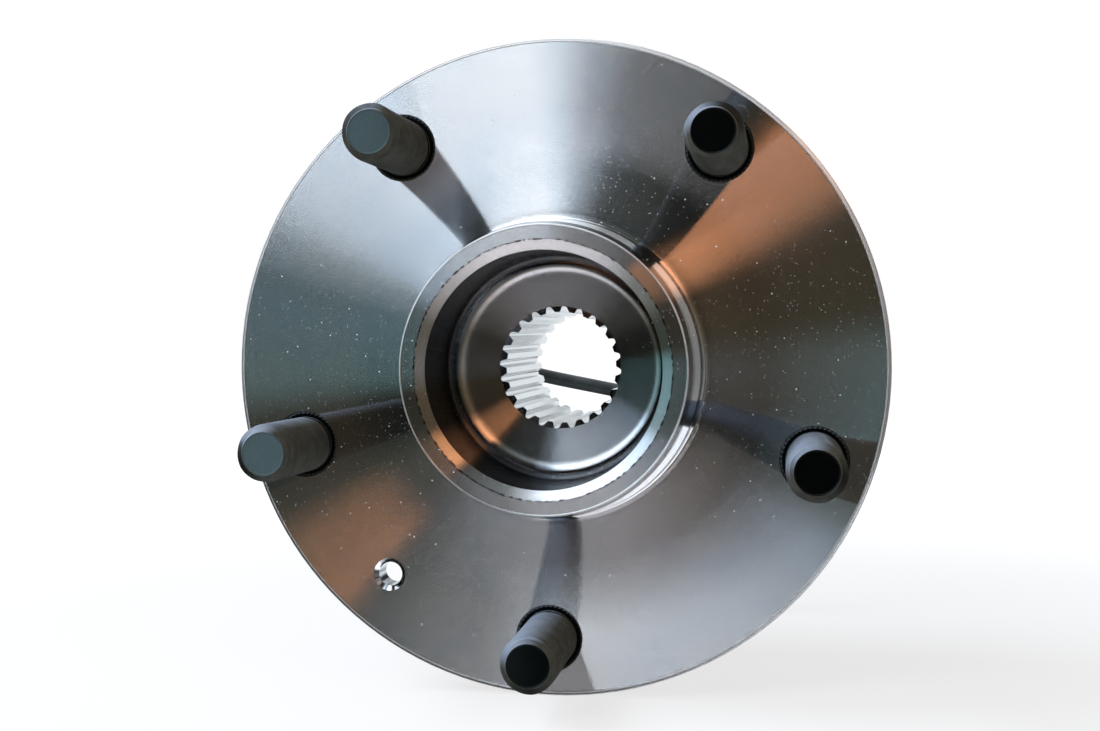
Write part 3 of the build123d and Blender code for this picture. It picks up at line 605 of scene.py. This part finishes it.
class HUB_OT_steel(bpy.types.Operator):
    """Finishes the turned hub and the rings of the bearing."""

    bl_idname = "hub.steel"
    bl_label = "Turned and ground steel"

    def execute(self, context):
        steel = tuple(context.scene.hub_colours.steel)
        finish_nodes(turned_steel("turned_steel", steel), "hub_flange")
        ground = turned_steel("ground_steel", steel, spread=0.10, roughness=0.12, specks=False)
        finish_nodes(ground, "inner_ring")
        forged = turned_steel("forged_ring", (0.50, 0.50, 0.51), spread=0.16, roughness=0.26)
        finish_nodes(forged, "outer_ring")
        pressed = turned_steel("pressed_steel", (0.56, 0.57, 0.58), spread=0.05, roughness=0.24, specks=False)
        finish_nodes(pressed, "outboard_seal_case", "inboard_seal_case", "encoder_slinger")
        cover = turned_steel("cover_steel", (0.62, 0.60, 0.52), spread=0.04, roughness=0.30)
        finish_nodes(cover, "sensor_ring")
        return {"FINISHED"}


class HUB_OT_studs(bpy.types.Operator):
    """Builds the wheel studs with their knurls and threads."""

    bl_idname = "hub.studs"
    bl_label = "Wheel studs"

    def execute(self, context):
        sizes = context.scene.hub_studs
        mesh = bmesh.new()
        head, shank = stud_rings(sizes)
        upright = Matrix.Rotation(math.pi / 2, 4, "X")
        for number, (x, z) in enumerate(stud_centres()):
            start = Matrix.Rotation(math.radians(67 * number), 4, "Z")
            matrix = Matrix.Translation((x, 0, z)) @ upright @ start
            lathe(mesh, head, 4 * sizes.knurl_teeth, sizes, matrix)
            lathe(mesh, shank, sizes.around, sizes, matrix)
        material = black_oxide("black_oxide", tuple(context.scene.hub_colours.oxide))
        studs = mesh_object("threaded_studs", mesh, material, sharp_degrees=15)
        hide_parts("wheel_studs")
        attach(studs, TURNING)
        return {"FINISHED"}


def stud_centres():
    """Where the studs stand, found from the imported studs' own points at their tips."""
    points = [v.co for v in frame["nodes"]["wheel_studs"].data.vertices if v.co.y < STUD_TIP_Y + 0.1 * MM]
    first = min(points, key=lambda p: (Vector((p.x, p.z)).angle_signed(Vector((0, 1))) % math.tau))
    near = [p for p in points if (p - first).length < 2 * STUD_R]
    centre = sum((Vector((p.x, p.z)) for p in near), Vector((0, 0))) / len(near)
    turn = math.atan2(centre.y, centre.x)
    turns = [turn + math.tau * number / STUD_COUNT for number in range(STUD_COUNT)]
    return [(STUD_CIRCLE_R * math.cos(t), STUD_CIRCLE_R * math.sin(t)) for t in turns]


class HUB_OT_bearing(bpy.types.Operator):
    """Finishes the balls, cages, seals and the encoder."""

    bl_idname = "hub.bearing"
    bl_label = "Balls, cages and seals"

    def execute(self, context):
        ball = turned_steel("polished_ball", (0.75, 0.75, 0.77), spread=0.01, roughness=0.05, marks=0.02, specks=False)
        finish_nodes(ball, "outboard_balls", "inboard_balls")
        cage = moulded("cage_polyamide", tuple(context.scene.hub_colours.cage), roughness=0.5)
        finish_nodes(cage, "outboard_cage", "inboard_cage")
        lip = moulded("seal_rubber", (0.055, 0.035, 0.028), roughness=0.6)
        finish_nodes(lip, "outboard_seal_lip", "inboard_seal_lip")
        finish_nodes(moulded("magnet_rubber", (0.030, 0.030, 0.034), roughness=0.5), "encoder_magnet")
        return {"FINISHED"}


class HUB_OT_sensor(bpy.types.Operator):
    """Finishes the sensor, its strain relief, the tie and the connector."""

    bl_idname = "hub.sensor"
    bl_label = "Sensor and connector"

    def execute(self, context):
        finish_nodes(moulded("sensor_plastic", (0.022, 0.022, 0.024), roughness=0.45), "sensor_body")
        finish_nodes(moulded("boot_rubber", (0.018, 0.018, 0.020), roughness=0.7), "cable_boot", "connector_boot")
        finish_nodes(moulded("tie_nylon", (0.030, 0.030, 0.032), roughness=0.4), "cable_tie")
        finish_nodes(moulded("connector_plastic", (0.035, 0.037, 0.040), roughness=0.5), "connector_body")
        finish_nodes(moulded("lock_plastic", (0.60, 0.58, 0.50), roughness=0.45), "connector_lock")
        finish_nodes(moulded("plug_seal", (0.42, 0.12, 0.045), roughness=0.6), "connector_seal")
        finish_nodes(moulded("terminal_brass", (0.70, 0.58, 0.34), roughness=0.3, metal=1.0), "connector_terminals")
        return {"FINISHED"}


# Sensor lead


def ease(share):
    """From 0 to 1 with a soft start and end."""
    share = min(max(share, 0.0), 1.0)
    return share * share * (3 - 2 * share)


def coil_points(steps):
    """Two and a half turns, clockwise from above: outer turn, inner turn, half a turn on top."""
    points = []
    first_turn = 360.0
    second_turn = 720.0
    whole = 900.0
    crossing = 70.0
    climb_end = second_turn - 30.0
    count = round(steps * whole / 360)
    for number in range(count + 1):
        turned = whole * number / count
        inward = ease((turned - first_turn + crossing) / crossing)
        up = ease((turned - climb_end + crossing) / crossing)
        radius = COIL_OUTER_TURN + (COIL_INNER_TURN - COIL_OUTER_TURN) * inward
        radius += (COIL_TOP_TURN - radius) * up
        height = COIL_LOW + (COIL_HIGH - COIL_LOW) * up
        turn = -math.radians(turned)
        points.append((COIL_CENTRE[0] + radius * math.cos(turn), COIL_CENTRE[1] + radius * math.sin(turn), height))
    return points


class HUB_OT_lead(bpy.types.Operator):
    """Lays the sensor lead from its strain relief to the connector."""

    bl_idname = "hub.lead"
    bl_label = "Sensor lead"

    def execute(self, context):
        sizes = context.scene.hub_lead
        points = LEAD_POINTS + coil_points(sizes.coil_steps) + TAIL_POINTS
        curve = bpy.data.curves.new("sensor_lead", "CURVE")
        curve.dimensions = "3D"
        curve.bevel_depth = CABLE_R
        curve.bevel_resolution = 6
        curve.resolution_u = 8
        curve.use_fill_caps = True
        spline = curve.splines.new("NURBS")
        spline.points.add(len(points) - 1)
        for control, point in zip(spline.points, points):
            control.co = (*(Vector(point) * MM), 1.0)
        spline.order_u = 3
        spline.use_endpoint_u = True
        jacket = moulded("lead_jacket", tuple(context.scene.hub_colours.jacket), roughness=0.42, grain=3.0)
        curve.materials.append(jacket)
        lead = bpy.data.objects.new("sensor_lead", curve)
        context.scene.collection.objects.link(lead)
        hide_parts("sensor_cable", "cable_coil", "cable_tail")
        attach(lead, STILL)
        return {"FINISHED"}


# Stage

# Walls of the studio that the steel mirrors, by their bearing round the axle line: 0 is to the
# right of the hub, a quarter turn is above it
LOW_WALLS = [
    (0, (0.15, 0.14, 0.11)),
    (12, (0.13, 0.10, 0.05)),
    (29, (0.13, 0.08, 0.04)),
    (36, (1.15, 0.50, 0.21)),
    (49, (1.75, 0.74, 0.30)),
    (51, (0.05, 0.06, 0.04)),
    (80, (0.06, 0.07, 0.06)),
    (88, (0.60, 0.75, 0.90)),
    (95, (2.60, 3.10, 3.50)),
    (100, (3.30, 3.60, 3.85)),
    (132, (2.10, 2.50, 2.90)),
    (150, (1.15, 1.50, 1.85)),
    (157, (0.36, 0.52, 0.56)),
    (170, (0.26, 0.45, 0.50)),
    (184, (0.22, 0.38, 0.38)),
    (190, (0.05, 0.06, 0.04)),
    (202, (0.05, 0.06, 0.04)),
    (212, (0.18, 0.18, 0.13)),
    (226, (0.06, 0.07, 0.06)),
    (240, (0.14, 0.17, 0.15)),
    (262, (0.42, 0.42, 0.40)),
    (300, (0.24, 0.20, 0.17)),
    (338, (0.08, 0.07, 0.05)),
    (360, (0.15, 0.14, 0.11)),
]
HIGH_WALLS = [
    (0, (0.15, 0.14, 0.11)),
    (12, (0.13, 0.10, 0.05)),
    (29, (0.15, 0.10, 0.06)),
    (36, (1.30, 0.58, 0.32)),
    (43, (1.90, 0.80, 0.44)),
    (49, (1.90, 0.82, 0.46)),
    (51, (0.05, 0.06, 0.04)),
    (80, (0.06, 0.07, 0.06)),
    (88, (0.90, 1.05, 1.25)),
    (95, (2.90, 3.40, 3.80)),
    (100, (4.30, 4.60, 4.80)),
    (132, (3.20, 3.75, 4.20)),
    (150, (2.10, 2.60, 3.00)),
    (157, (0.56, 0.70, 0.75)),
    (170, (0.42, 0.76, 0.88)),
    (184, (0.34, 0.58, 0.60)),
    (190, (0.05, 0.06, 0.04)),
    (202, (0.05, 0.06, 0.04)),
    (212, (0.18, 0.18, 0.13)),
    (226, (0.06, 0.07, 0.06)),
    (240, (0.14, 0.17, 0.15)),
    (262, (0.36, 0.36, 0.34)),
    (300, (0.22, 0.19, 0.16)),
    (338, (0.08, 0.07, 0.05)),
    (360, (0.15, 0.14, 0.11)),
]
RIM_WALLS = [
    (0, (0.36, 0.34, 0.33)),
    (12, (0.18, 0.14, 0.09)),
    (29, (0.17, 0.12, 0.08)),
    (36, (1.30, 0.60, 0.28)),
    (49, (2.00, 0.86, 0.40)),
    (54, (0.16, 0.16, 0.15)),
    (76, (0.50, 0.54, 0.56)),
    (90, (1.80, 1.95, 2.10)),
    (130, (2.00, 2.20, 2.40)),
    (150, (1.10, 1.40, 1.70)),
    (157, (0.36, 0.52, 0.56)),
    (184, (0.24, 0.42, 0.42)),
    (190, (0.10, 0.11, 0.09)),
    (202, (0.12, 0.13, 0.12)),
    (220, (0.60, 0.60, 0.58)),
    (240, (2.10, 2.06, 2.14)),
    (290, (2.20, 2.12, 2.25)),
    (316, (1.10, 1.04, 1.04)),
    (338, (0.26, 0.23, 0.19)),
    (360, (0.36, 0.34, 0.33)),
]
FAR_WALLS = [
    (0, (0.32, 0.31, 0.30)),
    (30, (0.20, 0.16, 0.11)),
    (38, (1.60, 0.80, 0.45)),
    (47, (1.60, 0.80, 0.45)),
    (53, (0.10, 0.10, 0.08)),
    (76, (0.20, 0.22, 0.22)),
    (91, (2.00, 2.20, 2.40)),
    (104, (3.20, 3.45, 3.60)),
    (156, (2.80, 3.10, 3.40)),
    (166, (0.16, 0.20, 0.20)),
    (200, (0.10, 0.12, 0.11)),
    (214, (0.16, 0.16, 0.14)),
    (232, (0.26, 0.28, 0.27)),
    (262, (1.40, 1.40, 1.45)),
    (298, (2.40, 2.45, 2.55)),
    (332, (2.00, 2.10, 2.20)),
    (342, (0.50, 0.50, 0.48)),
    (360, (0.32, 0.31, 0.30)),
]
CAMERA_SIDE = (0.016, 0.017, 0.014)
LEAN_X = 0.16
LEAN_Z = 0.03


def build_world(scene):
    """White behind the hub, plain light on what is not a mirror, and walls for what is."""
    world = bpy.data.worlds.new("studio")
    scene.world = world
    shader = Shader(world)
    toward = shader.node("TexCoord", output="Generated")
    x, y, z = [shader.node("SeparateXYZ", {}, {0: toward}, output=axis) for axis in "XYZ"]
    depth = (0.0 - y).math("MAXIMUM", 0.02)
    right = x / depth + LEAN_X
    above = z / depth + LEAN_Z
    bearing = (above.math("ARCTAN2", right) / math.tau).math("FRACT")
    low, rim, high, far = [
        shader.node(
            "ValToRGB",
            {"stops": [(degrees / 360, colour) for degrees, colour in walls]},
            {"Fac": bearing},
            output="Color",
        )
        for walls in (LOW_WALLS, RIM_WALLS, HIGH_WALLS, FAR_WALLS)
    ]
    off_axis = (right * right + above * above) ** 0.5
    band = off_axis.clipped(0.72, 0.86) * (1.0 - off_axis.clipped(1.04, 1.18))
    walls = shader.mix(off_axis.clipped(0.55, 1.0), CAMERA_SIDE, low)
    walls = shader.mix(band, walls, rim)
    walls = shader.mix(off_axis.clipped(1.4, 2.1), walls, high)
    walls = shader.mix(off_axis.clipped(3.4, 4.4), walls, far)
    shade = z.clipped(-0.4, 0.9) * 0.95 + 0.10
    wide = (x * x + z * z) ** 0.5 / y.math("MAXIMUM", 0.02)
    behind = shader.mix(wide.clipped(0.45, 0.95), (0.96, 1.02, 1.05), shader.vector(shade, shade, shade))
    mirrored = shader.mix(y.clipped(-0.02, 0.10), walls, behind)
    rays = {
        kind: shader.node("LightPath", output=f"Is {kind} Ray")
        for kind in ("Camera", "Glossy", "Transmission")
    }
    scattered = shader.node("LightPath", output="Diffuse Depth")
    mirror = rays["Glossy"] * (1.0 - scattered.clipped(0.2, 0.8))
    colour = shader.mix(mirror, (0.36, 0.37, 0.39), mirrored)
    colour = shader.mix((rays["Camera"] + rays["Transmission"]).math("MINIMUM", 1.0), colour, (1.0, 1.0, 1.0))
    background = shader.node("Background", {}, {"Color": colour, "Strength": 1.0})
    shader.node_output(background, "OutputWorld")


def build_floor(context):
    """A pale sheet that runs out of sight; it stays white but keeps the hub's shadow."""
    half = 6.0
    mesh = bmesh.new()
    corners = [(-half, -half), (half, -half), (half, half), (-half, half)]
    mesh.faces.new([mesh.verts.new((x, y, FLOOR_Z - 0.02 * MM)) for x, y in corners])
    material, shader = new_material("pale_floor")
    x, y, _z = shader.place()
    near = 1.0 - ((x * x + y * y) ** 0.5).clipped(150.0, 450.0)
    white = 1.0 - near * 0.25
    paper = shader.node("BsdfPrincipled", {}, {"Base Color": (0.82, 0.82, 0.82, 1.0), "Roughness": 0.9})
    glow = shader.node("Emission", {}, {"Color": shader.vector(white, white, white), "Strength": 1.22})
    seen = shader.node("LightPath", output="Is Camera Ray")
    both = shader.node("MixShader", {}, {0: seen * 0.8, 1: paper, 2: glow})
    shader.node_output(both)
    floor = mesh_object("floor", mesh, material)
    floor.visible_glossy = False


def add_lamp(context, name, place, target, size, power, colour):
    """A soft square lamp that faces a point."""
    light = bpy.data.lights.new(name, "AREA")
    light.size = size
    light.energy = power
    light.color = colour
    lamp = bpy.data.objects.new(name, light)
    lamp.location = place
    lamp.rotation_euler = (Vector(target) - Vector(place)).to_track_quat("-Z", "Y").to_euler()
    context.scene.collection.objects.link(lamp)
    lamp.visible_glossy = False
    return lamp


class HUB_OT_stage(bpy.types.Operator):
    """Sets the floor, the light and the camera."""

    bl_idname = "hub.stage"
    bl_label = "Stage"

    def execute(self, context):
        scene = context.scene
        build_world(scene)
        build_floor(context)
        add_lamp(context, "key", (-0.5, -0.8, 0.7), (0, 0, 0), 0.5, 7.0, (0.95, 0.98, 1.0))
        add_lamp(context, "fill", (0.8, -0.5, 0.2), (0, 0, 0), 0.6, 3.0, (1.0, 0.84, 0.66))
        add_lamp(context, "window", (-0.84, -0.08, 0.74), (0, 0, 0), 0.5, 20.0, (0.78, 0.88, 1.0))
        settings = scene.hub_studio
        data = bpy.data.cameras.new("camera")
        data.sensor_width = 36.0
        data.lens = settings.focal_length
        data.clip_start = 0.01
        camera = bpy.data.objects.new("camera", data)
        yaw = settings.camera_yaw
        pitch = settings.camera_pitch
        ahead = Vector((-math.sin(yaw) * math.cos(pitch), math.cos(yaw) * math.cos(pitch), -math.sin(pitch)))
        camera.location = settings.camera_place
        camera.rotation_euler = ahead.to_track_quat("-Z", "Y").to_euler()
        scene.collection.objects.link(camera)
        scene.camera = camera
        scene.view_settings.view_transform = "Standard"
        return {"FINISHED"}


class HUB_PT_panel(bpy.types.Panel):
    """Lists the steps in the sidebar."""

    bl_idname = "HUB_PT_panel"
    bl_label = "Wheel hub bearing"
    bl_space_type = "VIEW_3D"
    bl_region_type = "UI"
    bl_category = "Hub Bearing"

    def draw(self, context):
        layout = self.layout
        for name in SETTINGS:
            box = layout.box()
            for key in SETTINGS[name].__annotations__:
                box.prop(getattr(context.scene, name), key)
        for step in STEPS:
            layout.operator(step.bl_idname)


SETTINGS = {
    "hub_studs": StudSizes,
    "hub_lead": LeadSizes,
    "hub_colours": Colours,
    "hub_studio": StudioSettings,
}
STEPS = (HUB_OT_steel, HUB_OT_studs, HUB_OT_bearing, HUB_OT_sensor, HUB_OT_lead, HUB_OT_stage)


def register():
    for kind in (*SETTINGS.values(), *STEPS, HUB_PT_panel):
        bpy.utils.register_class(kind)
    for name, kind in SETTINGS.items():
        setattr(bpy.types.Scene, name, PointerProperty(type=kind))


def unregister():
    for name in SETTINGS:
        delattr(bpy.types.Scene, name)
    for kind in (HUB_PT_panel, *reversed(STEPS), *reversed(SETTINGS.values())):
        bpy.utils.unregister_class(kind)


def main():
    register()
    bpy.ops.hub.steel()
    bpy.ops.hub.studs()
    bpy.ops.hub.bearing()
    bpy.ops.hub.sensor()
    bpy.ops.hub.lead()
    bpy.ops.hub.stage()


if __name__ == "__main__":
    main()
